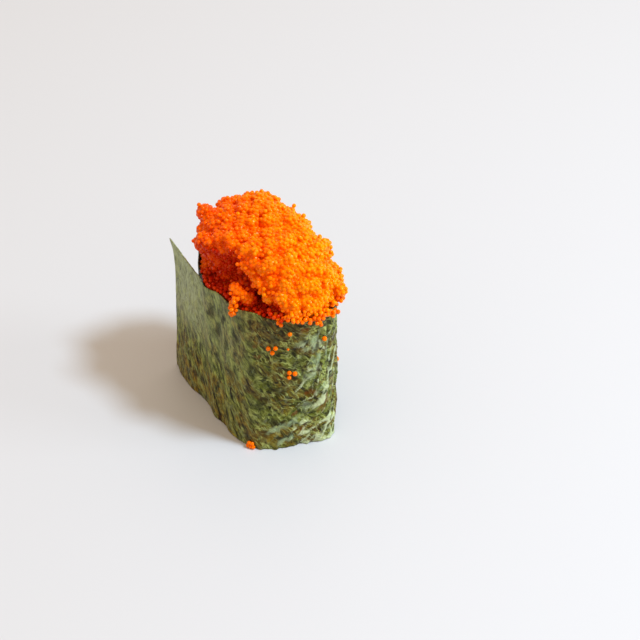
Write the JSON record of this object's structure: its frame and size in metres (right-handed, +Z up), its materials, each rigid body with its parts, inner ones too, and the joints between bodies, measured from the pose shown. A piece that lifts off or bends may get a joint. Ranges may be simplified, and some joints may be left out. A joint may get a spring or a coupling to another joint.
{
  "type": "gunkan sushi",
  "caption": "One piece of gunkan sushi: an upright oval band of nori round a bed of rice, with its free end standing off, heaped with small orange roe over the rim.",
  "frame": {"origin": "middle of the foot, on the surface the sushi stands on", "axes": "+Z up, +Y along the length to the far end where the free end of the nori stands off, +X to the right side"},
  "size_m": [0.0312, 0.0438, 0.0528],
  "materials": {
    "nori": "dark olive green pressed seaweed, damp, with a soft wrinkled gloss",
    "roe": "small glossy translucent orange eggs",
    "rice": "pressed short-grain rice, moist and off-white"
  },
  "bodies": {
    "root": {"nori": "nori", "roe": "roe", "rice": "rice"}
  },
  "joints": []
}
